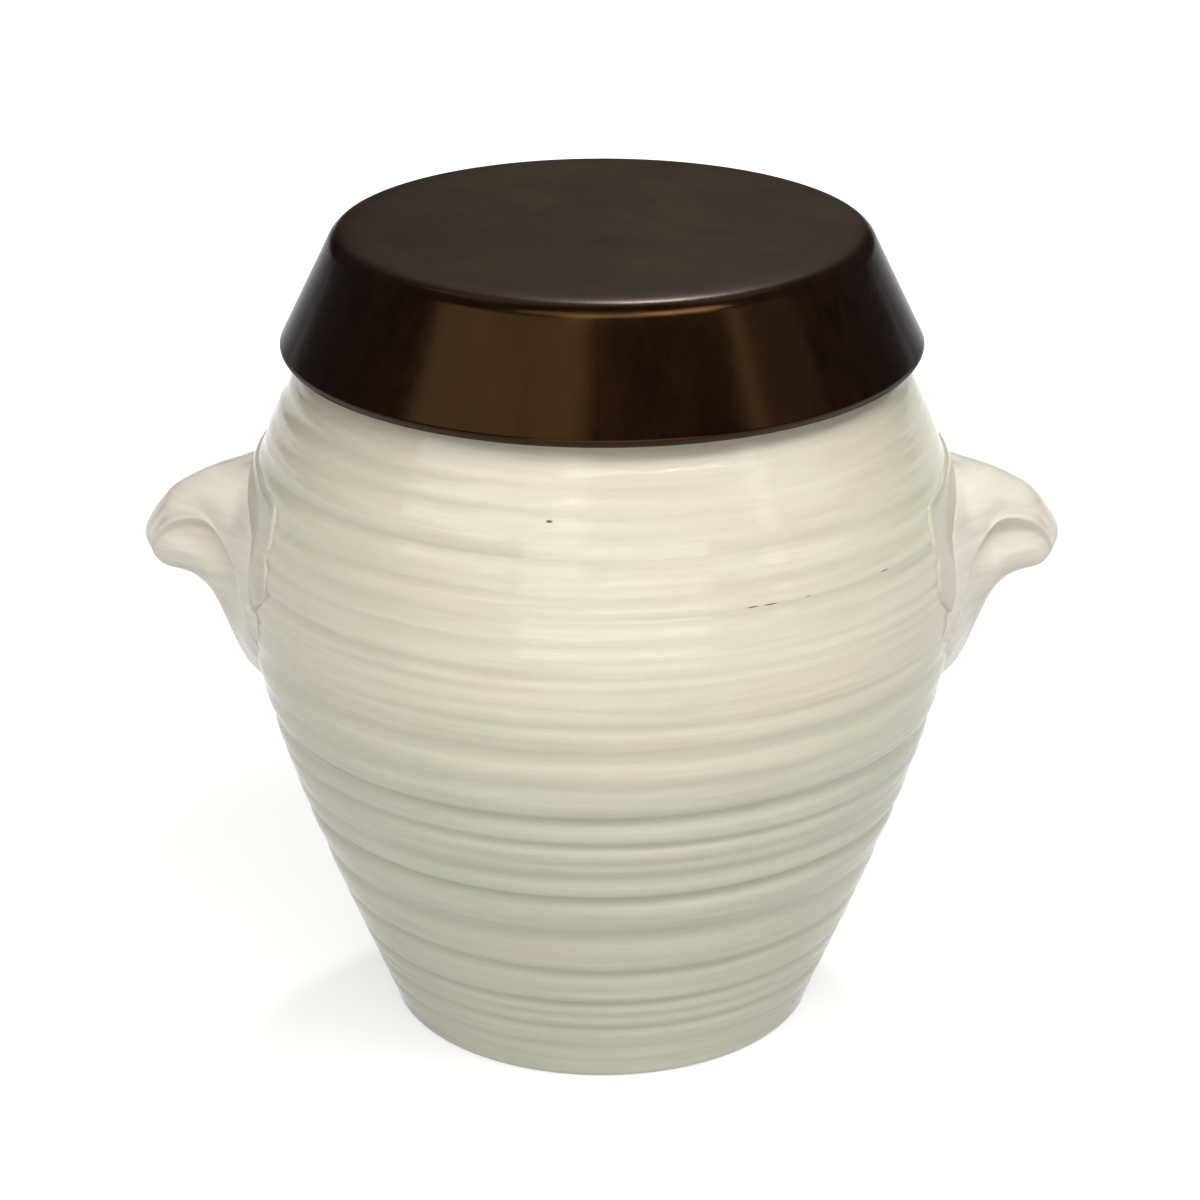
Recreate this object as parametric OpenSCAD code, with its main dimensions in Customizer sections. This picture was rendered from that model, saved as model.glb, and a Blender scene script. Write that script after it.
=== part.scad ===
// Glazed onggi storage jar with two lug handles and a lift-off cap lid.
// Millimetres, +Z up, +X through the right handle, origin at the centre of the foot.

/* [Jar] */
// Radius of the foot on the table
foot_r = 75; // [72:0.5:78]
// Radius of the belly at its widest
belly_r = 126; // [124:0.5:128]
// Height of the widest line of the belly
belly_h = 170; // [167:0.5:173]
// Thickness of the base slab
base_t = 9; // [8:0.5:10]
// Thickness of the thrown wall
wall_t = 7.5; // [6.5:0.5:8.5]
// Height of the seam between the neck and the mouth rim
neck_h = 262; // [261:0.5:263]
// Height of the mouth rim's flat top, where the lid rests
mouth_h = 276; // [275:0.5:277]
// Inner radius of the mouth
mouth_r = 77; // [75:0.5:78]
// Outer radius of the mouth rim
rim_r = 88; // [87:0.5:88.5]

/* [Lid] */
// Overall height of the jar with its lid on
total_h = 286; // [285:0.5:288]
// Radius of the lid's lower edge
lid_r = 110; // [109.5:0.5:112]
// Radius at which the lid's side would meet its flat top
lid_top_r = 90.5; // [89.5:0.5:92.5]
// Radius inside which the lid's top is flat
flat_r = 76; // [73:0.5:79]
// Height of the lid's lower edge above the foot
skirt_h = 243.5; // [242.5:0.5:246]
// Thickness of the lid's sloping skirt
skirt_t = 6; // [5:0.5:6.5]

/* [Handles] */
// Distance from the jar's axis to a handle's tip
reach = 159.5; // [158:0.5:161]
// Height of a handle's tip
tip_h = 174.5; // [173:0.5:176]
// Thickness of the wiped clay beside each handle
luting_t = 1.2; // [0.8:0.2:1.6]
// Half-width of the wiped clay across the jar
luting_w = 55; // [53:0.5:57]

/* [Hidden] */
glaze = "#ddd8c6";
iron_glaze = "#33281e";
// Curve steps of each stretch of the wall, and of a rounded edge
wall_steps = 14;
edge_steps = 6;
// Facets of a full turn on screen
facets = 128;
// The wall leaves the foot and reaches the neck at these slopes, in degrees
foot_slope = 68;
neck_slope = 47;
// How far the wall keeps each direction: at the foot, below the belly,
// above the belly and at the neck
foot_pull = 45;
below_pull = 49;
above_pull = 31.5;
neck_pull = 24;
// Where the inside starts above the slab and ends below the neck
floor_gap = 4;
neck_gap = 6;
slab_r = foot_r + base_t / tan(foot_slope);
neck_r = rim_r - 1;
// Height of the slope from the neck out to the rim
rim_slope = 3;
// Rounding of the foot, of the mouth rim and of the lid's lower edge
foot_round = 1.5;
rim_round = 5;
lip_round = 3;
skirt_round = 3;
// The lid's soft shoulder starts this far below its top, and keeps the
// directions of the side and of the top for these lengths
shoulder_drop = 5;
side_pull = 5;
top_pull = 10;
shoulder_steps = 10;
// Along a handle and between its guiding curves, the steps of its surface
handle_steps = 18;
cross_steps = 3;
// How far a handle's surface rounds between its guiding curves, from 0 to 1
softness = 0.6;

// Point at t on the Bezier curve with the control points p
function bezier(p, t) = len(p) == 1 ? p[0]
    : bezier([for (i = [0 : len(p) - 2]) p[i] * (1 - t) + p[i + 1] * t], t);
// Unit normal at t, to the right of the curve's direction
function normal(p, t) =
    let (n = len(p) - 1,
         d = bezier([for (i = [0 : n - 1]) n * (p[i + 1] - p[i])], t))
    [d[1], -d[0]] / norm(d);
// Points of an arc with centre c and radius r, from angle a to angle b
function arc(c, r, a, b) =
    [for (i = [0 : edge_steps]) let (k = a + (b - a) * i / edge_steps)
        c + r * [cos(k), sin(k)]];

// The wall's outline rises from the slab to the belly, then leans in to the neck
lower_wall = [
    [slab_r, base_t],
    [slab_r, base_t] + foot_pull * [cos(foot_slope), sin(foot_slope)],
    [belly_r, belly_h - below_pull],
    [belly_r, belly_h]];
upper_wall = [
    [belly_r, belly_h],
    [belly_r, belly_h + above_pull],
    [neck_r, neck_h] + neck_pull * [cos(neck_slope), -sin(neck_slope)],
    [neck_r, neck_h]];

// Outline of the wall, moved outwards by grow
function wall_line(grow) = concat(
    [for (i = [0 : wall_steps - 1]) let (t = i / wall_steps)
        bezier(lower_wall, t) + grow * normal(lower_wall, t)],
    [for (i = [0 : wall_steps]) let (t = i / wall_steps)
        bezier(upper_wall, t) + grow * normal(upper_wall, t)]);

function reversed(p) = [for (i = [len(p) - 1 : -1 : 0]) p[i]];

module turned(points) {
    rotate_extrude($fn = facets) polygon(points);
}

// The inside follows the outside at the wall's thickness, from floor to mouth
module jar_wall() {
    inside = [for (p = wall_line(-wall_t))
        if (p[1] > base_t + floor_gap && p[1] < neck_h - neck_gap) p];
    color(glaze) turned(concat(
        wall_line(0),
        [[mouth_r, neck_h]],
        reversed(inside),
        [[slab_r - wall_t - floor_gap, base_t]]));
}

module base_slab() {
    side = foot_round * [cos(foot_slope), sin(foot_slope)];
    color(glaze) turned([
        [0, 0],
        [foot_r - foot_round, 0],
        [foot_r, 0] + side,
        [slab_r, base_t],
        [0, base_t]]);
}

// A rolled rim with a narrow flat top that the lid rests on
module mouth_rim() {
    color(glaze) turned(concat(
        [[mouth_r, neck_h], [neck_r, neck_h], [rim_r, neck_h + rim_slope]],
        arc([rim_r - rim_round, mouth_h - rim_round], rim_round, 0, 90),
        arc([mouth_r + lip_round, mouth_h - lip_round], lip_round, 90, 180)));
}

// A flat-topped cap whose skirt slopes out over the mouth and the shoulder
module lid() {
    slope = atan2(total_h - skirt_h - skirt_round, lid_r - lid_top_r);
    side = skirt_t / sin(slope);
    run = (lid_r - lid_top_r) / (total_h - skirt_h - skirt_round);
    inner_top = lid_top_r + run * (total_h - mouth_h) - side;
    start = [lid_top_r + run * shoulder_drop, total_h - shoulder_drop];
    shoulder = [
        start,
        start + side_pull * [-cos(slope), sin(slope)],
        [flat_r + top_pull, total_h],
        [flat_r, total_h]];
    color(iron_glaze) turned(concat(
        [[0, mouth_h], [inner_top - lip_round, mouth_h], [inner_top, mouth_h - lip_round],
         [lid_r - side, skirt_h + skirt_round]],
        arc([lid_r - skirt_round, skirt_h + skirt_round], skirt_round, -135, 0),
        [for (i = [0 : shoulder_steps]) bezier(shoulder, i / shoulder_steps)],
        [[0, total_h]]));
}

// The lines that guide a handle's surface. Each runs from inside the wall,
// over the lug and round under its tip, through points measured from the tip:
// out from the jar, across to one side, and up.
crest = [[-55, 0, 29], [-39.5, 0, 26.5], [-28.5, 0, 25], [-18.5, 0, 21.5],
         [-8, 0, 14.5], [0, 0, 0], [-7.5, 0, -12.5]];
brow = [[-55, 7, 30], [-40, 10, 27], [-31.5, 19, 21], [-20.5, 13.5, 19],
        [-8.5, 8.5, 13], [-1.3, 5, -0.5], [-7, 1, -12]];
flank = [[-53, 48, 11], [-41.5, 41, 14], [-32.5, 30.5, 9.5], [-21.5, 17, 14],
         [-9, 11, 10], [-2, 5.5, -2.5], [-7.2, 1.5, -11.8]];
lip = [[-53, 46, -35], [-39, 40, -17], [-32.5, 29.5, 1], [-23, 20, 12],
       [-9, 13, 8], [-2.5, 6.5, -4.5], [-7.5, 2.5, -11.7]];
groove = [[-53, 36, -38], [-36.5, 32.5, -17.5], [-33.5, 22.5, -1.5], [-22.5, 14, 7.5],
          [-9.5, 11, 5], [-3.3, 6, -6], [-8, 2.5, -11.7]];
tongue_edge = [[-53, 35, -42], [-38.5, 31.5, -25.5], [-32, 20.5, -5], [-22, 15, 4],
               [-10.5, 11.5, 1.5], [-4.3, 6.5, -7.5], [-8.5, 3, -11.7]];
tongue = [[-53, 30, -45], [-38.5, 27.5, -31], [-29.5, 18, -13.5], [-20, 16, -4.5],
          [-12, 12.5, -3.5], [-7, 8, -9], [-9.5, 3, -11.9]];
keel_side = [[-53, 24, -54], [-38.5, 20, -39.5], [-29.5, 12, -27.5], [-22.5, 12, -14.5],
             [-16, 11, -11], [-11, 7.5, -10.9], [-10.5, 2.5, -12.1]];
keel = [[-53, 0, -66], [-38.5, 0, -53], [-32.5, 0, -45.5], [-25, 0, -26],
        [-20, 0, -16.5], [-15.5, 0, -13.5], [-11, 0, -12.7]];
rails = [crest, brow, flank, lip, groove, tongue_edge, tongue, keel_side, keel];

// Point at u on a smooth line between b and c, with neighbours a and d
function between(a, b, c, d, u) = 0.5 * (
    2 * b + (c - a) * u + (2 * a - 5 * b + 4 * c - d) * u * u
    + (3 * b - a - 3 * c + d) * u * u * u);
// Point at t, from 0 to 1, on the smooth line through the points p
function along(p, t) =
    let (n = len(p) - 1, i = min(floor(t * n), n - 1),
         before = i > 0 ? p[i - 1] : 2 * p[0] - p[1],
         after = i + 2 <= n ? p[i + 2] : 2 * p[n] - p[n - 1])
    between(before, p[i], p[i + 1], after, t * n - i);

// Closed ring of points round a handle at t, from 0 in the wall to 1 under
// the tip, down one side and back up the other
function ring(t) =
    let (half = [for (r = rails) along(r, t)],
         n = len(half),
         mirrored = [for (i = [n - 2 : -1 : 1]) [half[i][0], -half[i][1], half[i][2]]],
         full = concat(half, mirrored),
         m = len(full))
    [for (i = [0 : m - 1], k = [0 : cross_steps - 1])
        let (u = k / cross_steps, a = full[i], b = full[(i + 1) % m])
        softness * between(full[(i + m - 1) % m], a, b, full[(i + 2) % m], u)
        + (1 - softness) * (a * (1 - u) + b * u)];

module lug() {
    rings = [for (i = [0 : handle_steps]) ring(i / handle_steps)];
    m = len(rings[0]);
    skin = [for (i = [0 : handle_steps - 1], j = [0 : m - 1])
        let (a = i * m + j, b = i * m + (j + 1) % m)
        each [[a, b, b + m], [a, b + m, a + m]]];
    root = [for (j = [1 : m - 2]) [0, j + 1, j]];
    last = handle_steps * m;
    nose = [for (j = [1 : m - 2]) [last, last + j, last + j + 1]];
    translate([reach, 0, tip_h])
        polyhedron(points = [for (r = rings) each r], faces = concat(skin, root, nose));
}

module handle() {
    difference() {
        lug();
        turned(concat([[0, base_t]], wall_line(0), [[0, neck_h]]));
    }
}

// Edge of the wiped clay on one side of a handle, from above its root to
// below it: across as a share of the half-width, and up from the tip
clay_edge = [[0, 31], [0.45, 31.5], [0.64, 30], [0.87, 29], [0.94, 25.5], [0.98, 17.5],
             [0.96, 10.5], [1, 4], [0.97, -4.5], [0.86, -9.5], [0.73, -16]];

// Clay wiped over the joint: a thin skin on the wall round the top and the
// sides of the root, with a ragged edge
module luting() {
    side = [for (p = clay_edge) [luting_w * p[0], tip_h + p[1]]];
    other = [for (i = [len(side) - 1 : -1 : 1]) [-side[i][0], side[i][1]]];
    difference() {
        intersection() {
            turned(concat([[0, base_t]], wall_line(luting_t), [[0, neck_h]]));
            translate([belly_r / 2, 0, 0]) rotate([90, 0, 90])
                linear_extrude(belly_r) polygon(concat(side, other));
        }
        turned(concat([[0, base_t]], wall_line(0), [[0, neck_h]]));
        lug();
    }
}

module right_handle() {
    color(glaze) handle();
}

module left_handle() {
    color(glaze) mirror([1, 0, 0]) handle();
}

module right_luting() {
    color(glaze) luting();
}

module left_luting() {
    color(glaze) mirror([1, 0, 0]) luting();
}

jar_wall();
base_slab();
mouth_rim();
left_handle();
right_handle();
left_luting();
right_luting();
lid();
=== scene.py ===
"""Looks of the onggi jar: a thrown, cream-glazed jar with two lug handles and an iron-glazed cap lid.

Sizes in the classes are millimetres, as a potter measures them, and meshes are in metres.
"""

import logging
import math
from collections.abc import Callable, Sequence
from dataclasses import dataclass, field
from enum import Enum
from typing import Any

import bpy
import numpy as np
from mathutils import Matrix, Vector, noise


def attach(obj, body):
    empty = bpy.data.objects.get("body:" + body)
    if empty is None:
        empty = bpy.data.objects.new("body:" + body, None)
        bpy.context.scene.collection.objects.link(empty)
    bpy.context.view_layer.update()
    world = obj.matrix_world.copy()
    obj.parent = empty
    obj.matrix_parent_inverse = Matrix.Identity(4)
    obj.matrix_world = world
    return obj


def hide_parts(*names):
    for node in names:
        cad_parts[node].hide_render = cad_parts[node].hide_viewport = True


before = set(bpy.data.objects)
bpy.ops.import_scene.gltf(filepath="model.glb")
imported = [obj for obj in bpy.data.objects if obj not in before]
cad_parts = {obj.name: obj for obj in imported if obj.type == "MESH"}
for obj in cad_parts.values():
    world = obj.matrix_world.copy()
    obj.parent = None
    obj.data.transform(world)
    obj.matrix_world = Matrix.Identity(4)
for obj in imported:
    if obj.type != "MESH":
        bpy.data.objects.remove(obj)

LOG = logging.getLogger("onggi_jar")
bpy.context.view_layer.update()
MM = 0.001
Point = tuple[float, ...]


class Body(Enum):
    """The bodies that the pieces ride on."""

    JAR = "jar"
    LID = "lid"


class Slot(Enum):
    """The record's material slots."""

    CREAM = "cream_glaze"
    IRON = "iron_glaze"


class Side(Enum):
    """The side of the jar that a handle is on, as the sign of its x."""

    LEFT = -1
    RIGHT = 1


# Curves

def bezier(points: Sequence[Point], t: float) -> np.ndarray:
    """Point at t on a Bezier curve.

    Args:
        points: Control points of the curve.
        t: Place along the curve, from 0 to 1.

    Returns:
        The point.
    """
    level = np.array(points, float)
    while len(level) > 1:
        level = level[:-1] * (1 - t) + level[1:] * t
    return level[0]


def between(a: np.ndarray, b: np.ndarray, c: np.ndarray, d: np.ndarray, u: float) -> np.ndarray:
    """Point at u on a smooth line between b and c.

    Args:
        a: Neighbour before b.
        b: Start of the stretch.
        c: End of the stretch.
        d: Neighbour after c.
        u: Place along the stretch, from 0 to 1.

    Returns:
        The point.
    """
    return 0.5 * (2 * b + (c - a) * u + (2 * a - 5 * b + 4 * c - d) * u**2
                  + (3 * b - a - 3 * c + d) * u**3)


def along(points: np.ndarray, t: float) -> np.ndarray:
    """Point at t on the smooth line through some points.

    Args:
        points: Points that the line passes through.
        t: Place along the line, from 0 to 1.

    Returns:
        The point.
    """
    n = len(points) - 1
    i = min(int(t * n), n - 1)
    before = points[i - 1] if i > 0 else 2 * points[0] - points[1]
    after = points[i + 2] if i + 2 <= n else 2 * points[n] - points[n - 1]
    return between(before, points[i], points[i + 1], after, t * n - i)


def arc(centre: Point, radius: float, start: float, end: float, steps: int = 8) -> list[Point]:
    """Points of an arc in an outline.

    Args:
        centre: Centre as radius and height.
        radius: Radius of the arc.
        start: First angle, in degrees.
        end: Last angle, in degrees.
        steps: Number of chords.

    Returns:
        The points as radius and height.
    """
    angles = np.radians(np.linspace(start, end, steps + 1))
    return [(centre[0] + radius * math.cos(a), centre[1] + radius * math.sin(a)) for a in angles]


# Modelling

def deselect_all() -> None:
    """Leave no object selected, so that an operator acts on the new piece alone."""
    if bpy.context.object and bpy.context.object.mode != "OBJECT":
        bpy.ops.object.mode_set(mode="OBJECT")
    bpy.ops.object.select_all(action="DESELECT")


def edit_all() -> None:
    """Open the active object in edit mode with all of it selected."""
    bpy.ops.object.mode_set(mode="EDIT")
    bpy.ops.mesh.select_all(action="SELECT")


def close_up(merge: float = 0.01) -> None:
    """Merge doubled vertices, turn the faces outwards and leave edit mode.

    Args:
        merge: Distance in millimetres under which vertices merge.
    """
    edit_all()
    bpy.ops.mesh.remove_doubles(threshold=merge * MM)
    bpy.ops.mesh.normals_make_consistent(inside=False)
    bpy.ops.object.mode_set(mode="OBJECT")


def turned(name: str, outline: Sequence[Point], segments: int = 256) -> bpy.types.Object:
    """Turn an outline round the jar's axis, as clay is thrown on a wheel.

    Args:
        name: Name of the piece.
        outline: Points as radius and height, from axis to axis or closed.
        segments: Steps of the full turn.

    Returns:
        The closed piece, with smooth faces that point outwards.
    """
    deselect_all()
    start = Vector((outline[0][0], 0, outline[0][1])) * MM
    bpy.ops.mesh.primitive_plane_add(size=MM, location=start)
    piece = bpy.context.object
    piece.name = piece.data.name = name
    bpy.ops.object.transform_apply(location=True)
    edit_all()
    bpy.ops.mesh.merge(type="CENTER")
    for (r0, z0), (r1, z1) in zip(outline[:-1], outline[1:]):
        step = ((r1 - r0) * MM, 0, (z1 - z0) * MM)
        bpy.ops.mesh.extrude_region_move(TRANSFORM_OT_translate={"value": step})
    bpy.ops.mesh.select_all(action="SELECT")
    bpy.ops.mesh.spin(steps=segments, angle=2 * math.pi, center=(0, 0, 0), axis=(0, 0, 1))
    bpy.ops.object.mode_set(mode="OBJECT")
    close_up()
    bpy.ops.object.shade_smooth()
    return piece


def rolled_sheet(name: str, rows: np.ndarray, wrap: bool) -> bpy.types.Object:
    """Lay a grid of clay over rows of points, and close it round where it wraps.

    Args:
        name: Name of the piece.
        rows: Points in millimetres, as rows by columns by three.
        wrap: True to join the last column to the first and to cap both ends.

    Returns:
        The piece, with smooth faces that point outwards.
    """
    if wrap:
        rows = np.concatenate([rows, rows[:, :1]], axis=1)
    count, across = rows.shape[:2]
    deselect_all()
    bpy.ops.mesh.primitive_grid_add(x_subdivisions=across - 1, y_subdivisions=count - 1)
    sheet = bpy.context.object
    sheet.name = sheet.data.name = name
    sheet.data.vertices.foreach_set("co", (rows * MM).astype(np.float32).ravel())
    edit_all()
    bpy.ops.mesh.remove_doubles(threshold=0.005 * MM)
    if wrap:
        bpy.ops.mesh.select_all(action="DESELECT")
        bpy.ops.mesh.select_non_manifold()
        bpy.ops.mesh.fill_holes(sides=0)
    close_up(merge=0.005)
    bpy.ops.object.shade_smooth()
    return sheet


def reshape(piece: bpy.types.Object, move: Callable[[np.ndarray], np.ndarray]) -> None:
    """Press or pull the vertices of a piece.

    Args:
        piece: The piece.
        move: Turns vertex positions in millimetres into new ones.
    """
    count = len(piece.data.vertices)
    flat = np.empty(count * 3, np.float32)
    piece.data.vertices.foreach_get("co", flat)
    moved = move(flat.reshape(-1, 3) / MM)
    piece.data.vertices.foreach_set("co", (moved * MM).astype(np.float32).ravel())
    piece.data.update()


def unevenness(points: np.ndarray, spacing: float, seed: float) -> np.ndarray:
    """Smooth random values of a hand-made surface.

    Args:
        points: Places in millimetres.
        spacing: Rough distance between bumps, in millimetres.
        seed: Shift that gives each use its own pattern.

    Returns:
        A value from -1 to 1 for each place.
    """
    shift = Vector((seed, -seed, seed * 0.5))
    return np.array([noise.noise(Vector(p) / spacing + shift) for p in points])


# Materials

def srgb(code: str) -> tuple[float, float, float, float]:
    """Linear colour of an sRGB hex code.

    Args:
        code: Six hex digits after a hash.

    Returns:
        Red, green, blue and an alpha of one.
    """
    parts = [int(code[i:i + 2], 16) / 255 for i in (1, 3, 5)]
    linear = [c / 12.92 if c <= 0.04045 else ((c + 0.055) / 1.055) ** 2.4 for c in parts]
    return (*linear, 1.0)


def add_node(tree: bpy.types.NodeTree, kind: str, inputs: dict[Any, Any] | None = None,
             **settings: Any) -> bpy.types.Node:
    """Add one shader node.

    Args:
        tree: The material's or the world's node tree.
        kind: Node type, without its ShaderNode prefix.
        inputs: A constant or an output to link, for each input name or number.
        settings: The node's own settings.

    Returns:
        The node.
    """
    node = tree.nodes.new("ShaderNode" + kind)
    for key, value in settings.items():
        if key == "stops":
            ramp = node.color_ramp.elements
            while len(ramp) < len(value):
                ramp.new(0.5)
            for element, (place, colour) in zip(ramp, value):
                element.position = place
                element.color = colour
        else:
            setattr(node, key, value)
    for key, value in (inputs or {}).items():
        if isinstance(value, bpy.types.NodeSocket):
            tree.links.new(value, node.inputs[key])
        else:
            node.inputs[key].default_value = value
    return node


def grey(value: float) -> tuple[float, float, float, float]:
    """A grey colour for a ramp that carries a plain number."""
    return (value, value, value, 1.0)


def new_material(name: str) -> tuple[bpy.types.Material, bpy.types.NodeTree]:
    """Start an empty node material.

    Args:
        name: Name of the finish.

    Returns:
        The material and its node tree.
    """
    material = bpy.data.materials.new(name)
    material.use_nodes = True
    material.node_tree.nodes.clear()
    return material, material.node_tree


@dataclass(frozen=True)
class IronMark:
    """A dark speck where iron in the clay bled through the glaze."""

    place: Point
    length: float
    height: float


@dataclass(frozen=True)
class CreamGlaze:
    """Glossy ash glaze over stoneware, dipped and fired.

    The glaze is clear to milky and takes sharp reflections. It is warm above 152 mm, and
    below 115 mm it is painted cooler and darker as painted shade of the lower wall, which
    faces down, away from the lamps. In the grooves it is painted grey-green, partly glaze
    pooled there and partly painted shade.
    """

    name: str = "cream ash glaze"
    warm: str = "#e6dfca"
    shaded_cool: str = "#d8d6c3"
    pooled_and_shaded: str = "#b4b3a0"
    greenish: str = "#f6fbf7"
    rosy: str = "#fffafb"
    iron: str = "#4a3c2c"
    ior: float = 1.5
    roughness: float = 0.07
    edge_gleam: float = 0.1
    marks: tuple[IronMark, ...] = (
        IronMark((-16.7, -111.7, 220.3), 1.5, 0.6),
        IronMark((48.3, -113.6, 191.8), 2.6, 0.35),
        IronMark((54.1, -110.9, 191.7), 3.4, 0.3),
        IronMark((66.6, -103.9, 191.7), 1.6, 0.3),
        IronMark((92.9, -81.2, 191.7), 2.6, 0.35),
        IronMark((68.5, -39.0, 9.3), 0.8, 2.2),
    )

    def material(self) -> bpy.types.Material:
        """Build the glaze.

        Returns:
            The material.
        """
        material, tree = new_material(self.name)
        place = add_node(tree, "TexCoord").outputs["Object"]
        height = add_node(tree, "SeparateXYZ", {"Vector": place}).outputs["Z"]
        cloud = add_node(tree, "TexNoise", {"Vector": place, "Scale": 14.0, "Detail": 3.0})
        # Painted shade: below 115 mm the glaze turns cooler and darker, where the lower wall faces
        # down, away from the lamps
        rise = add_node(tree, "MapRange", {"Value": height, "From Min": 0.115, "From Max": 0.152},
                        interpolation_type="SMOOTHSTEP")
        tone = add_node(tree, "Math", {0: cloud.outputs["Fac"], 1: 0.5, 2: rise.outputs[0]},
                        operation="MULTIPLY_ADD")
        body = add_node(tree, "ValToRGB", {"Fac": tone.outputs[0]},
                        stops=[(0.2, srgb(self.shaded_cool)), (1.1, srgb(self.warm))])
        # Brushed bands of thick and thin glaze follow the throwing, 4 mm apart
        band_place = add_node(tree, "Mapping", {"Vector": place, "Scale": (16.0, 16.0, 320.0)})
        bands = add_node(tree, "TexNoise", {"Vector": band_place.outputs[0], "Scale": 1.0,
                                            "Detail": 5.0, "Roughness": 0.65})
        band_tone = add_node(tree, "ValToRGB", {"Fac": bands.outputs["Fac"]},
                             stops=[(0.32, grey(0.89)), (0.66, grey(1.0))])
        banded = add_node(tree, "MixRGB", {"Fac": 1.0, "Color1": body.outputs[0],
                                           "Color2": band_tone.outputs[0]},
                          blend_type="MULTIPLY")
        # Fired unevenly, the glaze turns rosy in some patches and greenish in others
        patch_place = add_node(tree, "Mapping", {"Vector": place, "Scale": (12.0, 12.0, 34.0)})
        patches = add_node(tree, "TexNoise", {"Vector": patch_place.outputs[0], "Scale": 1.0,
                                              "Detail": 3.0, "Roughness": 0.6})
        patch_tone = add_node(tree, "ValToRGB", {"Fac": patches.outputs["Fac"]},
                              stops=[(0.32, srgb(self.greenish)), (0.5, grey(1.0)),
                                     (0.68, srgb(self.rosy))])
        banded = add_node(tree, "MixRGB", {"Fac": 1.0, "Color1": banded.outputs[0],
                                           "Color2": patch_tone.outputs[0]},
                          blend_type="MULTIPLY")
        # Painted shade in the grooves: where the wall is pressed in, the glaze is painted grey-green,
        # partly glaze pooled in the groove and partly the shade that falls there
        hollow = add_node(tree, "Attribute", attribute_name="hollow").outputs["Fac"]
        pooled_and_shaded = add_node(tree, "MixRGB", {"Fac": hollow, "Color1": banded.outputs[0],
                                           "Color2": srgb(self.pooled_and_shaded)})
        colour = pooled_and_shaded.outputs[0]
        for mark in self.marks:
            offset = add_node(tree, "VectorMath", {0: place, 1: Vector(mark.place) * MM},
                              operation="SUBTRACT")
            wide, tall = 1 / (mark.length * MM), 1 / (mark.height * MM)
            scaled = add_node(tree, "VectorMath", {0: offset.outputs[0], 1: (wide, wide, tall)},
                              operation="MULTIPLY")
            reach = add_node(tree, "VectorMath", {0: scaled.outputs[0]}, operation="LENGTH")
            seen = add_node(tree, "MapRange", {"Value": reach.outputs["Value"], "From Min": 0.5,
                                               "From Max": 1.0, "To Min": 1.0, "To Max": 0.0})
            colour = add_node(tree, "MixRGB", {"Fac": seen.outputs[0], "Color1": colour,
                                               "Color2": srgb(self.iron)}).outputs[0]
        # Under the glaze the clay keeps the fine combing of the potter's fingers
        skin = add_node(tree, "TexNoise", {"Vector": place, "Scale": 200.0, "Detail": 2.0})
        combing = add_node(tree, "Math", {0: bands.outputs["Fac"], 1: 1.4,
                                          2: skin.outputs["Fac"]}, operation="MULTIPLY_ADD")
        bump = add_node(tree, "Bump", {"Height": combing.outputs[0], "Strength": 0.22,
                                       "Distance": 0.0006})
        rough = add_node(tree, "MapRange", {"Value": cloud.outputs["Fac"],
                                            "To Min": self.roughness - 0.03,
                                            "To Max": self.roughness + 0.06})
        # Fine bubbles in the glaze dull the reflection where it is seen edge on
        facing = add_node(tree, "LayerWeight", {"Blend": 0.5}).outputs["Facing"]
        gleam = add_node(tree, "MapRange", {"Value": facing, "From Min": 0.4, "From Max": 0.85,
                                            "To Min": 0.5, "To Max": self.edge_gleam})
        shader = add_node(tree, "BsdfPrincipled", {
            "Base Color": colour, "Roughness": rough.outputs[0], "IOR": self.ior,
            "Specular IOR Level": gleam.outputs[0], "Normal": bump.outputs[0]})
        add_node(tree, "OutputMaterial", {"Surface": shader.outputs[0]})
        return material


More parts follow.
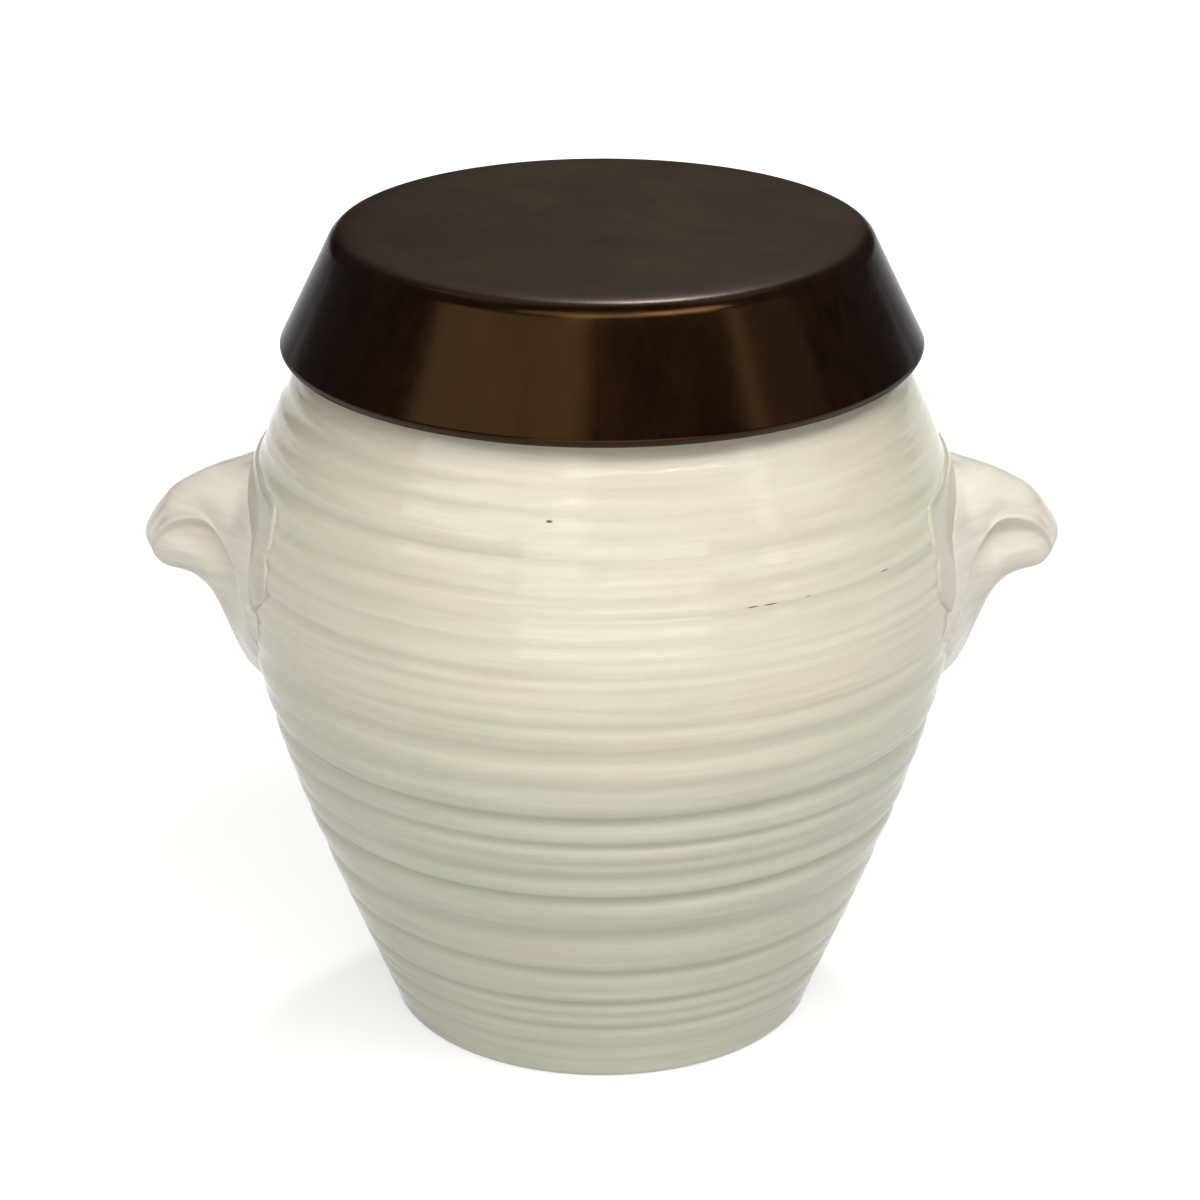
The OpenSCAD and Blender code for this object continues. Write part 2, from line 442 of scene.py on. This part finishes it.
@dataclass(frozen=True)
class IronGlaze:
    """Satin to glossy iron glaze, dark brown, fired on a cast or turned cap.

    Iron crystals on its surface tint reflections warm, and dry the flat top to a satin.
    """

    side: str = "#0f0604"
    top: str = "#2a2518"
    streak: str = "#1b0e07"
    sheen: tuple[float, float, float, float] = (1.0, 0.53, 0.19, 1.0)
    ior: float = 1.36
    roughness: float = 0.15
    top_roughness: float = 0.5
    edge_gleam: float = 0.02
    top_gleam: float = 0.17

    def material(self) -> bpy.types.Material:
        """Build the glaze.

        Returns:
            The material.
        """
        material, tree = new_material("dark iron glaze")
        place = add_node(tree, "TexCoord").outputs["Object"]
        # The top is dry out to the turn of its shoulder, and the side is glossy
        parts = add_node(tree, "SeparateXYZ", {"Vector": place}).outputs
        # Painted reflection: the dark glossy side reaches about 0.7 mm higher at the front and as much
        # lower at the back, darkening the front edge of the shoulder
        height = add_node(tree, "Math", {0: parts["Y"], 1: 0.008, 2: parts["Z"]},
                          operation="MULTIPLY_ADD")
        flat = add_node(tree, "MapRange", {"Value": height.outputs[0], "From Min": 0.2838,
                                           "From Max": 0.2852},
                        interpolation_type="SMOOTHSTEP").outputs[0]
        cloud = add_node(tree, "TexNoise", {"Vector": place, "Scale": 22.0, "Detail": 5.0,
                                            "Roughness": 0.6, "Distortion": 0.6})
        # Mineral streaks run down the side, a few millimetres apart
        run_place = add_node(tree, "Mapping", {"Vector": place, "Scale": (170.0, 170.0, 30.0)})
        runs = add_node(tree, "TexNoise", {"Vector": run_place.outputs[0], "Scale": 1.0,
                                           "Detail": 5.0, "Distortion": 0.8})
        streaks = add_node(tree, "Math", {0: cloud.outputs["Fac"], 1: runs.outputs["Fac"]},
                           operation="MULTIPLY")
        side = add_node(tree, "ValToRGB", {"Fac": streaks.outputs[0]},
                        stops=[(0.15, srgb(self.side)), (0.42, srgb(self.streak))])
        top = add_node(tree, "ValToRGB", {"Fac": cloud.outputs["Fac"]},
                       stops=[(0.3, srgb(self.top)), (0.75, srgb(self.streak))])
        colour = add_node(tree, "MixRGB", {"Fac": flat, "Color1": side.outputs[0],
                                           "Color2": top.outputs[0]})
        gloss = add_node(tree, "MapRange", {"Value": flat, "To Min": self.roughness,
                                            "To Max": self.top_roughness})
        worn = add_node(tree, "Math", {0: runs.outputs["Fac"], 1: 0.06, 2: gloss.outputs[0]},
                        operation="MULTIPLY_ADD")
        skin = add_node(tree, "TexNoise", {"Vector": place, "Scale": 260.0, "Detail": 3.0})
        bump = add_node(tree, "Bump", {"Height": skin.outputs["Fac"], "Strength": 0.1,
                                       "Distance": 0.0003})
        # Its crystals dull the reflection where the side is seen edge on
        facing = add_node(tree, "LayerWeight", {"Blend": 0.5}).outputs["Facing"]
        dulled = add_node(tree, "MapRange", {"Value": facing, "From Min": 0.35, "From Max": 0.7,
                                             "To Min": 0.5, "To Max": self.edge_gleam})
        gleam = add_node(tree, "MapRange", {"Value": flat, "To Min": dulled.outputs[0],
                                            "To Max": self.top_gleam})
        shader = add_node(tree, "BsdfPrincipled", {
            "Base Color": colour.outputs[0], "Roughness": worn.outputs[0], "IOR": self.ior,
            "Specular IOR Level": gleam.outputs[0], "Specular Tint": self.sheen,
            "Normal": bump.outputs[0]})
        add_node(tree, "OutputMaterial", {"Surface": shader.outputs[0]})
        return material


@dataclass(frozen=True)
class BareClay:
    """Unglazed stoneware, wiped clean before firing so that it doesn't stick.

    Fired bare clay is matt, buff and faintly gritty.
    """

    clay: str = "#b79f80"
    grit: str = "#8f7a60"
    roughness: float = 0.85

    def material(self) -> bpy.types.Material:
        """Build the bare clay.

        Returns:
            The material.
        """
        material, tree = new_material("bare fired clay")
        place = add_node(tree, "TexCoord").outputs["Object"]
        # Grit of about 1 mm
        grit = add_node(tree, "TexNoise", {"Vector": place, "Scale": 900.0, "Detail": 4.0})
        colour = add_node(tree, "ValToRGB", {"Fac": grit.outputs["Fac"]},
                          stops=[(0.35, srgb(self.grit)), (0.6, srgb(self.clay))])
        bump = add_node(tree, "Bump", {"Height": grit.outputs["Fac"], "Strength": 0.4,
                                       "Distance": 0.0003})
        shader = add_node(tree, "BsdfPrincipled", {
            "Base Color": colour.outputs[0], "Roughness": self.roughness, "IOR": 1.45,
            "Normal": bump.outputs[0]})
        add_node(tree, "OutputMaterial", {"Surface": shader.outputs[0]})
        return material


@dataclass
class Finishes:
    """The materials of the whole jar, built once."""

    cream: bpy.types.Material
    thick_and_lit: bpy.types.Material
    wiped: bpy.types.Material
    iron: bpy.types.Material
    clay: bpy.types.Material


def dress(piece: bpy.types.Object, body: Body, replaced: Sequence[str],
          materials: Sequence[bpy.types.Material],
          bare: Callable[[bpy.types.MeshPolygon], bool] | None = None) -> None:
    """Give a piece its finish and place it on its body.

    Args:
        piece: The piece.
        body: The body that it rides on.
        replaced: CAD nodes that it stands for.
        materials: The finish, and the bare one after it where there is one.
        bare: Says which faces are left unglazed.
    """
    piece.data.materials.clear()
    for material in materials:
        piece.data.materials.append(material)
    for polygon in piece.data.polygons:
        polygon.material_index = int(bool(bare and bare(polygon)))
    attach(piece, body.value)
    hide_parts(*replaced)
    LOG.info("%s: %d faces, rides on %s", piece.name, len(piece.data.polygons), body.value)


# Jar

@dataclass(frozen=True)
class Groove:
    """A hollow that a finger left in the wall as the jar turned.

    Heading is in degrees from the front, to the right, and spread is how far from there
    the hollow fades.
    """

    height: float
    depth: float
    above: float
    below: float
    heading: float = 0
    spread: float = 400
    climb: float = 0


@dataclass
class ThrownJar:
    """The thrown wall with its foot, and the rolled rim of its mouth."""

    foot_r: float = 75
    foot_round: float = 1.5
    belly_r: float = 126
    belly_h: float = 170
    base_t: float = 9
    wall_t: float = 7.5
    neck_r: float = 87
    neck_h: float = 262
    mouth_r: float = 77
    rim_r: float = 88
    mouth_h: float = 276
    foot_slope: float = 68
    neck_slope: float = 47
    grooves: tuple[Groove, ...] = (
        Groove(229, 0.50, 2.5, 3.5, -60, 90),
        Groove(221, 0.40, 1.6, 2.5, -30, 90),
        Groove(209.5, 0.70, 2.2, 3.0, -55, 70),
        Groove(209.0, 0.30, 2.0, 3.0, 50, 90),
        Groove(198.5, 0.50, 2.2, 3.0),
        Groove(190.8, 0.65, 1.3, 2.2, 45, 50),
        Groove(190.0, 0.40, 2.0, 3.0, -50, 60),
        Groove(183.0, 0.45, 1.4, 2.2, 65, 50),
        Groove(182.0, 0.40, 2.0, 3.0, -35, 60),
        Groove(176.5, 0.40, 1.2, 1.8, 62, 40),
        Groove(172.0, 0.60, 1.6, 2.4, -50, 55),
        Groove(170.5, 0.30, 1.5, 2.5, 60, 60),
        Groove(153.5, 0.50, 1.5, 2.4, 40, 70),
        Groove(144.0, 0.60, 4.5, 5.0),
        Groove(131.0, 0.20, 2.5, 3.0, -20, 80),
        Groove(117.0, 2.00, 2.6, 3.4, 0, 110),
        Groove(107.0, 1.35, 1.7, 2.3, 0, 100),
        Groove(100.0, 0.55, 1.4, 2.0, 20, 80),
        Groove(94.0, 1.10, 2.4, 2.8, 10, 100),
        Groove(83.8, 1.90, 1.8, 2.8, 0, 110),
        Groove(67.5, 1.50, 3.6, 4.2, 0, 100),
        Groove(50.5, 1.35, 2.0, 2.6, 10, 100),
        Groove(35.6, 1.25, 1.4, 1.9, 0, 110),
        Groove(29.5, 0.65, 1.3, 2.0, 0, 100),
        Groove(23.6, 1.10, 1.4, 1.9, 5, 110),
        Groove(14.5, 0.50, 1.6, 2.2, -10, 90),
        # Out of the photograph's sight, the same hand went on at the back
        Groove(214.0, 0.55, 2.0, 3.0, 170, 80),
        Groove(186.0, 0.55, 1.4, 2.6, 185, 80),
        Groove(162.0, 0.45, 1.6, 2.6, 160, 80),
        Groove(127.0, 0.80, 2.2, 3.8, 180, 80),
        Groove(98.0, 0.65, 1.6, 2.8, 190, 80),
        Groove(75.0, 0.75, 1.8, 3.2, 170, 80),
        Groove(44.0, 0.60, 1.6, 2.6, 180, 80),
    )

    def wall_curve(self) -> np.ndarray:
        """Outline of the wall's outside.

        Returns:
            Radii and heights, close together, from the slab's edge to the neck.
        """
        slab_r = self.foot_r + self.base_t / math.tan(math.radians(self.foot_slope))
        foot, neck = math.radians(self.foot_slope), math.radians(self.neck_slope)
        lower = [(slab_r, self.base_t),
                 (slab_r + 45 * math.cos(foot), self.base_t + 45 * math.sin(foot)),
                 (self.belly_r, self.belly_h - 49), (self.belly_r, self.belly_h)]
        upper = [(self.belly_r, self.belly_h), (self.belly_r, self.belly_h + 31.5),
                 (self.neck_r + 24 * math.cos(neck), self.neck_h - 24 * math.sin(neck)),
                 (self.neck_r, self.neck_h)]
        steps = np.linspace(0, 1, 121)
        return np.array([bezier(lower, t) for t in steps] + [bezier(upper, t) for t in steps[1:]])

    def radius_at(self, height: np.ndarray) -> np.ndarray:
        """Radius of the wall's outside at a height, before it is grooved."""
        curve = self.wall_curve()
        foot = [(self.foot_r, 0)]
        full = np.concatenate([foot, curve])
        return np.interp(height, full[:, 1], full[:, 0])

    def hollow_at(self, turn: np.ndarray, height: np.ndarray) -> np.ndarray:
        """Depth of the throwing marks.

        Args:
            turn: Angles from the front, in radians.
            height: Heights in millimetres.

        Returns:
            Depths in millimetres, all zero or more.
        """
        depth = np.zeros_like(height)
        for i, groove in enumerate(self.grooves):
            wander = 0.5 * np.sin(turn * 2 + i * 1.7) + 0.3 * np.sin(turn * 3 + i * 2.9)
            off = height - groove.height - wander * 0.7 - groove.climb * turn
            width = np.where(off > 0, groove.above, groove.below)
            away = np.angle(np.exp(1j * (turn - math.radians(groove.heading))))
            fade = np.exp(-(away / math.radians(groove.spread)) ** 2)
            depth += groove.depth * fade * np.exp(-(off / width) ** 2)
        draws = np.random.default_rng(7)
        for wave in np.geomspace(2.6, 16.0, 26):
            phase, swing, lobes = draws.uniform(0, 6.28), draws.uniform(0.3, 1.2), draws.integers(1, 4)
            slow = 0.55 + 0.45 * np.sin(turn * lobes + phase * 3)
            size = 0.010 * wave ** 0.5
            depth += size * slow * (1 + np.sin(height * 6.283 / wave + phase
                                               + swing * np.sin(turn + phase)))
        return depth

    def build_wall(self, finishes: Finishes) -> bpy.types.Object:
        """Throw the wall and its foot, and press the grooves in.

        Args:
            finishes: The jar's materials.

        Returns:
            The piece.
        """
        heights = np.arange(self.base_t / 6, self.neck_h, 1.0)
        outside = [(float(r), float(z)) for r, z in zip(self.radius_at(heights), heights)]
        curve = self.wall_curve()
        slope = np.gradient(curve, axis=0)
        slope /= np.linalg.norm(slope, axis=1)[:, None]
        inner = curve - self.wall_t * np.stack([slope[:, 1], -slope[:, 0]], axis=1)
        inner = [tuple(p) for p in inner[::4] if self.base_t + 4 < p[1] < self.neck_h - 6]
        outline = ([(0, 0), (self.foot_r * 0.5, 0), (self.foot_r - self.foot_round, 0)]
                   + [(self.foot_r - 0.5, 0.35)] + outside
                   + [(self.neck_r, self.neck_h), (self.mouth_r, self.neck_h)] + inner[::-1]
                   + [(self.foot_r - 8, self.base_t), (self.foot_r * 0.5, self.base_t),
                      (0, self.base_t)])
        wall = turned("thrown_wall", outline, segments=240)

        def press(points: np.ndarray) -> np.ndarray:
            """Press the grooves into the outside and finger rings into the inside."""
            r = np.hypot(points[:, 0], points[:, 1])
            turn = np.arctan2(points[:, 0], -points[:, 1])
            z = points[:, 2]
            outer = r > self.radius_at(z) - 2
            ease = np.clip(z / 4, 0, 1) * np.clip((self.neck_h - z) / 3, 0, 1)
            depth = self.hollow_at(turn, z) * ease
            inner_ring = 0.35 * np.sin((z + 3 * turn / 6.283) * 6.283 / 9) * (z > self.base_t + 2)
            inner_ring = inner_ring * (z < self.neck_h - 4)
            change = np.where(outer, -depth, inner_ring)
            scale = np.where(r > 1, (r + change) / np.maximum(r, 1), 1)
            self.hollow = np.where(outer, depth, 0)
            return np.stack([points[:, 0] * scale, points[:, 1] * scale, z], axis=1)

        reshape(wall, press)
        # The groove depth goes to the glaze, which paints the grooves darker, partly as pooled glaze
        # and partly as painted shade
        shade = wall.data.attributes.new("hollow", "FLOAT", "POINT")
        shade.data.foreach_set("value", np.clip((self.hollow - 0.5) * 0.45, 0, 0.4)
                               .astype(np.float32))
        dress(wall, Body.JAR, ["jar_wall", "base_slab"],
              [finishes.cream, finishes.clay],
              bare=lambda face: face.center.z < 0.5 * MM and face.normal.z < -0.5)
        return wall

    def build_rim(self, finishes: Finishes) -> bpy.types.Object:
        """Roll the rim of the mouth, with a bare flat land for the lid.

        Args:
            finishes: The jar's materials.

        Returns:
            The piece.
        """
        outline = ([(self.mouth_r, self.neck_h), (self.neck_r, self.neck_h),
                    (self.rim_r - 0.4, self.neck_h + 1.8), (self.rim_r, self.neck_h + 3.5)]
                   + arc((self.rim_r - 5, self.mouth_h - 5), 5, 0, 90)
                   + arc((self.mouth_r + 3, self.mouth_h - 3), 3, 90, 180)
                   + [(self.mouth_r, self.neck_h)])
        rim = turned("rolled_rim", outline, segments=192)
        dress(rim, Body.JAR, ["mouth_rim"], [finishes.cream, finishes.clay],
              bare=lambda face: face.center.z > (self.mouth_h - 0.3) * MM)
        return rim


# Handles

@dataclass
class LugHandle:
    """A pulled lug, pinched to a tip, luted on and wiped down at the sides.

    The rails are lines over its surface from inside the wall to under the tip, measured
    from the tip: out from the jar, across to one side, and up.
    """

    side: Side
    jar: ThrownJar
    reach: float = 159.5
    tip_h: float = 174.5
    softness: float = 0.85
    along_steps: int = 72
    across_steps: int = 8
    rails: tuple[tuple[Point, ...], ...] = (
        # crest
        ((-55, 0, 29), (-39.5, 0, 26.5), (-28.5, 0, 25), (-18.5, 0, 21.5), (-8, 0, 14.5),
         (0, 0, 0), (-7.5, 0, -12.5)),
        # brow
        ((-55, 7, 30), (-40, 10, 27), (-31.5, 19, 21), (-20.5, 13.5, 19), (-8.5, 8.5, 13),
         (-1.3, 5, -0.5), (-7, 1, -12)),
        # flank
        ((-53, 48, 11), (-41.5, 41, 14), (-32.5, 30.5, 9.5), (-21.5, 17, 14), (-9, 11, 10),
         (-2, 5.5, -2.5), (-7.2, 1.5, -11.8)),
        # lip
        ((-53, 46, -35), (-39, 41, -17), (-32.5, 30.3, 1), (-23, 20.8, 12), (-9, 13.6, 8),
         (-2.5, 6.7, -4.5), (-7.5, 2.5, -11.7)),
        # groove behind the lip
        ((-53, 36, -38), (-36.5, 30.5, -17.5), (-33.5, 20.5, -1.5), (-22.5, 14.3, 7),
         (-9.5, 11.3, 4.5), (-3.3, 6, -6), (-8, 2.5, -11.7)),
        # edge of the tongue
        ((-53, 35, -42), (-38.5, 31.5, -25.5), (-32, 20.5, -5), (-22, 15, 4), (-10.5, 11.5, 1.5),
         (-4.3, 6.5, -7.5), (-8.5, 3, -11.7)),
        # tongue
        ((-53, 30, -45), (-38.5, 27.5, -31), (-29.5, 18, -13.5), (-20, 16, -4.5),
         (-12, 12.5, -3.5), (-7, 8, -9), (-9.5, 3, -11.9)),
        # side of the keel
        ((-53, 24, -54), (-38.5, 20, -39.5), (-29.5, 12, -27.5), (-22.5, 12, -14.5),
         (-16, 11, -11), (-11, 7.5, -10.9), (-10.5, 2.5, -12.1)),
        # keel
        ((-53, 0, -66), (-38.5, 0, -53), (-32.5, 0, -45.5), (-25, 0, -26), (-20, 0, -16.5),
         (-15.5, 0, -13.5), (-11, 0, -12.7)),
    )
    clay_edge: tuple[Point, ...] = (
        (0, 31), (25, 31.5), (35, 30), (48, 29), (51.5, 25.5), (54, 17.5), (53, 10.5), (55, 4),
        (53.5, -4.5), (47.5, -9.5), (40, -16))
    clay_t: float = 1.2

    def ring(self, t: float) -> np.ndarray:
        """Closed ring of points round the lug.

        Args:
            t: Place along the lug, from 0 in the wall to 1 under the tip.

        Returns:
            Points in millimetres, round the right-hand lug.
        """
        half = [along(np.array(rail, float), t) for rail in self.rails]
        other = [p * (1, -1, 1) for p in half[-2:0:-1]]
        full, m = half + other, len(half) + len(other)
        points = []
        for i in range(m):
            a, b, c, d = (full[(i + k) % m] for k in (-1, 0, 1, 2))
            for u in np.arange(self.across_steps) / self.across_steps:
                points.append(self.softness * between(a, b, c, d, u)
                              + (1 - self.softness) * (b * (1 - u) + c * u))
        return np.array(points) + (self.reach, 0, self.tip_h)

    def mirrored(self, points: np.ndarray) -> np.ndarray:
        """Put points of the right-hand lug on this lug's side."""
        return points * (self.side.value, 1, 1)

    def build_lug(self, finishes: Finishes) -> bpy.types.Object:
        """Pull the lug along its rails.

        Args:
            finishes: The jar's materials.

        Returns:
            The piece.
        """
        name = self.side.name.lower()
        rings = [self.ring(t) for t in np.linspace(0, 1, self.along_steps + 1)]
        lug = rolled_sheet(f"{name}_lug", self.mirrored(np.array(rings)), wrap=True)
        self.soften_tip(lug)
        # The lugs wear the lighter glaze, partly thick-lying glaze and partly painted light
        dress(lug, Body.JAR, [f"{name}_handle"], [finishes.thick_and_lit])
        return lug

    def soften_tip(self, lug: bpy.types.Object) -> None:
        """Round off the pinch under the lug's tip.

        Args:
            lug: The lug.
        """
        under = (self.tip_h - 3) * MM
        beyond = (self.reach - 22) * MM
        edit_all()
        bpy.ops.mesh.select_all(action="DESELECT")
        bpy.ops.object.mode_set(mode="OBJECT")
        for vertex in lug.data.vertices:
            vertex.select = vertex.co.z < under and abs(vertex.co.x) > beyond
        bpy.ops.object.mode_set(mode="EDIT")
        bpy.ops.mesh.vertices_smooth(factor=0.5, repeat=40)
        bpy.ops.object.mode_set(mode="OBJECT")

    def build_wiped_clay(self, finishes: Finishes) -> bpy.types.Object:
        """Smear clay over the joint, from a ragged edge on the wall to under the lug.

        Args:
            finishes: The jar's materials.

        Returns:
            The piece.
        """
        name = self.side.name.lower()
        half = np.array(self.clay_edge, float)
        edge = np.concatenate([half[::-1] * (-1, 1), half[1:]])
        edge = np.array([along(edge, t) for t in np.linspace(0, 1, 181)])
        centre = np.array([0, -2.0])
        rows = []
        # From under the wall's skin, over the rounded edge and in towards the root
        for inward, lift in ((0.0, -0.9), (0.0, 0.0), (0.008, 0.3), (0.03, 0.5), (0.08, 0.7),
                             (0.16, 0.9), (0.28, 1.0), (0.45, 0.95), (0.6, -2.5)):
            spot = edge + (centre - edge) * inward
            y, z = spot[:, 0], spot[:, 1] + self.tip_h
            ragged = 0.5 * unevenness(np.stack([y, z, z * 0], axis=1), 4.0, 3.1)
            y = y + ragged * (1 - inward) * np.sign(y)
            r = self.jar.radius_at(z) + lift * self.clay_t
            rows.append(np.stack([np.sqrt(r ** 2 - y ** 2), y, z], axis=1))
        clay = rolled_sheet(f"{name}_wiped_clay", self.mirrored(np.array(rows)), wrap=False)
        dress(clay, Body.JAR, [f"{name}_luting"], [finishes.wiped])
        return clay


# Lid

@dataclass
class CapLid:
    """The turned cap: a flat top, and a skirt that slopes out over the mouth."""

    total_h: float = 286
    lid_r: float = 110
    top_r: float = 90.5
    flat_r: float = 76
    skirt_h: float = 243.5
    skirt_t: float = 6
    seat_h: float = 276
    edge_round: float = 3
    shoulder_drop: float = 5
    side_pull: float = 5
    top_pull: float = 10

    def build(self, finishes: Finishes) -> bpy.types.Object:
        """Turn the cap.

        Args:
            finishes: The jar's materials.

        Returns:
            The piece.
        """
        knee = self.skirt_h + self.edge_round
        slope = math.degrees(math.atan2(self.total_h - knee, self.lid_r - self.top_r))
        run = (self.lid_r - self.top_r) / (self.total_h - knee)
        side = self.skirt_t / math.sin(math.radians(slope))
        inner_top = self.top_r + run * (self.total_h - self.seat_h) - side
        start = (self.top_r + run * self.shoulder_drop, self.total_h - self.shoulder_drop)
        lean = math.radians(slope)
        shoulder = [start, (start[0] - self.side_pull * math.cos(lean),
                            start[1] + self.side_pull * math.sin(lean)),
                    (self.flat_r + self.top_pull, self.total_h), (self.flat_r, self.total_h)]
        outline = ([(r, self.seat_h) for r in (0, 30, 60, inner_top - 3)]
                   + [(inner_top - 0.8, self.seat_h - 0.8), (inner_top, self.seat_h - 3)]
                   + [(self.lid_r - side, knee)]
                   + arc((self.lid_r - self.edge_round, knee), self.edge_round, -135, -4)
                   + [(self.lid_r - 0.35, knee + 0.5)]
                   + [(self.lid_r - 0.35 - run * h, knee + 0.5 + h) for h in (4, 12, 20, 28)]
                   + [tuple(bezier(shoulder, t)) for t in np.linspace(0, 1, 17)]
                   + [(r, self.total_h) for r in (70, 60, 50, 40, 30, 20, 10, 5, 0)])
        lid = turned("cap_lid", outline, segments=256)

        def settle(points: np.ndarray) -> np.ndarray:
            """Let the outside lean and ripple a little, as turned clay does."""
            r = np.hypot(points[:, 0], points[:, 1])
            outer = (r > inner_top + 2) & (points[:, 2] > self.skirt_h + 1)
            wave = unevenness(points * (1, 1, 0.6), 30.0, 5.0) * 0.15 - 0.15
            scale = np.where(outer, (r + wave) / np.maximum(r, 1), 1)
            return points * np.stack([scale, scale, np.ones_like(scale)], axis=1)

        reshape(lid, settle)
        dress(lid, Body.LID, ["lid"], [finishes.iron, finishes.clay],
              bare=lambda face: (abs(face.center.z - self.seat_h * MM) < 0.1 * MM
                                 and face.normal.z < -0.5))
        return lid


# Studio

@dataclass(frozen=True)
class SoftBox:
    """A soft rectangular lamp that faces the jar from a direction seen from its axis."""

    name: str
    heading: float
    elevation: float
    distance: float
    width: float
    height: float
    watts: float
    colour: str = "#ffffff"

    def build(self) -> None:
        """Hang the lamp."""
        turn, lift = math.radians(self.heading), math.radians(self.elevation)
        away = Vector((math.sin(turn) * math.cos(lift), -math.cos(turn) * math.cos(lift),
                       math.sin(lift)))
        target = Vector((0, 0, 0.16))
        bpy.ops.object.light_add(type="AREA", location=target + away * self.distance)
        lamp = bpy.context.object
        lamp.name = lamp.data.name = self.name
        lamp.rotation_euler = (-away).to_track_quat("-Z", "Y").to_euler()
        lamp.data.shape = "RECTANGLE"
        lamp.data.size, lamp.data.size_y = self.width, self.height
        lamp.data.energy = self.watts
        lamp.data.color = srgb(self.colour)[:3]
        lamp.visible_camera = False


@dataclass
class Studio:
    """A pale floor, soft lamps and the camera at the photograph's angle."""

    lamps: tuple[SoftBox, ...] = (
        SoftBox("window_left", -51, 31, 2.2, 1.45, 0.75, 6.0),
        SoftBox("window_middle", -17, 31, 2.2, 0.75, 0.75, 3.1),
        SoftBox("window_right", 57, 27, 2.2, 0.25, 0.9, 1.3),
        SoftBox("curtain_right", 74, 27, 2.2, 0.8, 0.9, 0.9),
        SoftBox("front_low", 4, 6, 2.4, 2.6, 0.7, 15),
        SoftBox("key", 18, 51, 2.0, 1.8, 0.45, 13),
        SoftBox("high_right", 45, 55, 2.2, 1.0, 0.6, 11.5),
        SoftBox("high_left", -22, 55, 2.2, 1.0, 0.6, 4.5),
        SoftBox("high_front", 0, 64, 2.0, 1.0, 0.5, 2),
        SoftBox("ceiling_lamp", 172.5, 52, 2.2, 0.25, 0.25, 16),
        SoftBox("high_back", 180, 72, 2.2, 2.4, 1.2, 4.5),
    )
    floor_colour: str = "#bcbcb8"
    floor_glow: tuple[float, float] = (0.64, 0.96)
    world_colour: str = "#ffffff"
    world_strength: float = 0.08
    camera_place: Point = (0, -1.1428, 0.6104)
    camera_dip: float = 22.0
    lens: float = 105
    shift_x: float = -2 / 1200

    def build_floor(self) -> None:
        """Lay the floor: pale, and white to the camera where no shadow falls."""
        deselect_all()
        bpy.ops.mesh.primitive_plane_add(size=40)
        floor = bpy.context.object
        floor.name = floor.data.name = "pale_floor"
        material, tree = new_material("pale studio floor")
        light_path = add_node(tree, "LightPath").outputs
        seen = add_node(tree, "Math", {0: light_path["Is Camera Ray"],
                                       1: light_path["Is Glossy Ray"]}, operation="MAXIMUM")
        seen = add_node(tree, "Math", {0: seen.outputs[0],
                                       1: light_path["Is Transmission Ray"]}, operation="MAXIMUM")
        # Lamps light the middle of the floor, and its own glow makes up for them further out
        place = add_node(tree, "TexCoord").outputs["Object"]
        radius = add_node(tree, "VectorMath", {0: place}, operation="LENGTH").outputs["Value"]
        level = add_node(tree, "MapRange", {"Value": radius, "From Min": 0.2, "From Max": 0.7,
                                            "To Min": self.floor_glow[0],
                                            "To Max": self.floor_glow[1]})
        glow = add_node(tree, "Emission", {"Color": srgb("#ffffff"),
                                           "Strength": level.outputs[0]})
        none = add_node(tree, "Emission", {"Strength": 0.0})
        lit = add_node(tree, "MixShader", {0: seen.outputs[0], 1: none.outputs[0],
                                           2: glow.outputs[0]})
        matt = add_node(tree, "BsdfDiffuse", {"Color": srgb(self.floor_colour)})
        both = add_node(tree, "AddShader", {0: matt.outputs[0], 1: lit.outputs[0]})
        add_node(tree, "OutputMaterial", {"Surface": both.outputs[0]})
        floor.data.materials.append(material)

    def build_world(self) -> None:
        """Fill the room with even light."""
        world = bpy.data.worlds.new("studio")
        bpy.context.scene.world = world
        world.use_nodes = True
        world.node_tree.nodes.clear()
        back = add_node(world.node_tree, "Background", {"Color": srgb(self.world_colour),
                                                        "Strength": self.world_strength})
        add_node(world.node_tree, "OutputWorld", {"Surface": back.outputs[0]})

    def build_camera(self) -> None:
        """Place the camera where the photograph was taken from."""
        bpy.ops.object.camera_add(location=self.camera_place,
                                  rotation=(math.radians(90 - self.camera_dip), 0, 0))
        camera = bpy.context.object
        camera.name = camera.data.name = "camera"
        camera.data.lens = self.lens
        camera.data.shift_x = self.shift_x
        bpy.context.scene.camera = camera

    def build(self) -> None:
        """Set the whole studio up."""
        self.build_floor()
        self.build_world()
        for lamp in self.lamps:
            lamp.build()
        self.build_camera()
        bpy.context.scene.view_settings.view_transform = "Standard"
        LOG.info("studio: %d lamps", len(self.lamps))


def main() -> None:
    """Build the jar's pieces and the studio in order."""
    logging.basicConfig(level=logging.INFO, format="%(name)s: %(message)s")
    finishes = Finishes(
        cream=CreamGlaze().material(),
        # The lugs get a lighter copy of the glaze, partly glaze lying thick on them and partly painted
        # light
        thick_and_lit=CreamGlaze(name="cream ash glaze lying thick and painted lit", warm="#ede7d8",
                         shaded_cool="#e2dfd2").material(),
        wiped=CreamGlaze(name="cream ash glaze wiped thin", warm="#d9d4c2",
                         shaded_cool="#cecbba").material(),
        iron=IronGlaze().material(),
        clay=BareClay().material())
    jar = ThrownJar()
    jar.build_wall(finishes)
    jar.build_rim(finishes)
    for side in Side:
        handle = LugHandle(side, jar)
        handle.build_lug(finishes)
        handle.build_wiped_clay(finishes)
    CapLid().build(finishes)
    Studio().build()


if __name__ == "__main__":
    main()
